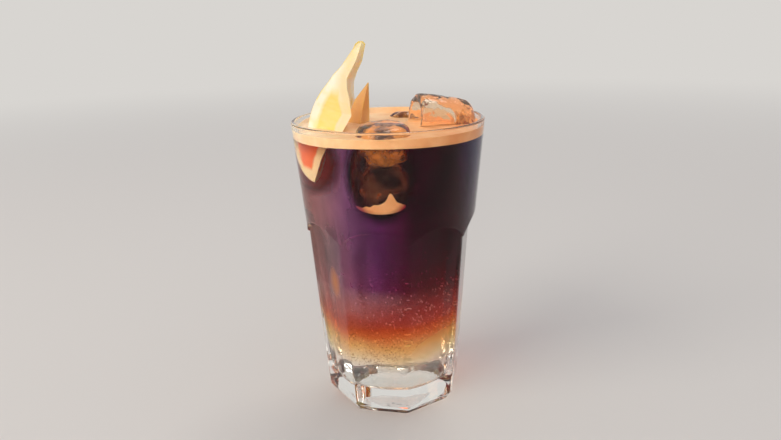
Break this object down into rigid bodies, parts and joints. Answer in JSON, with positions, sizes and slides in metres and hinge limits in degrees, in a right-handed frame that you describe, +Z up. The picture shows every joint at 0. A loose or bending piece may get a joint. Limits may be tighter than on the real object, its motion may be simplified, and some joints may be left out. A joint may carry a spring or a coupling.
{
  "type": "glass of espresso tonic",
  "caption": "Tall faceted tumbler of espresso over clear tonic, with a layer of crema, lemon wedges and hollow ice.",
  "frame": {"origin": "centre of the glass's foot, on the surface it stands on", "axes": "+Z up along the glass's axis; -Y out of the middle of one facet"},
  "size_m": [0.0838, 0.0838, 0.1618],
  "materials": {
    "glass": "clear pressed glass, fire-polished, faceted below a smooth band",
    "tonic": "clear tonic water with fine bubbles, tinted where the coffee bleeds in",
    "espresso": "near-black espresso, glossy, red-brown where it thins",
    "crema": "fine tan coffee foam",
    "lemon": "moist pale yellow lemon flesh between white pith",
    "ice": "clear wet ice with a hollow core"
  },
  "bodies": {
    "root": {"glass": "glass", "tonic": "tonic", "espresso": "espresso", "crema": "crema", "lemon_front": "lemon", "lemon_back": "lemon", "ice_front": "ice", "ice_right": "ice", "ice_back": "ice"}
  },
  "joints": []
}
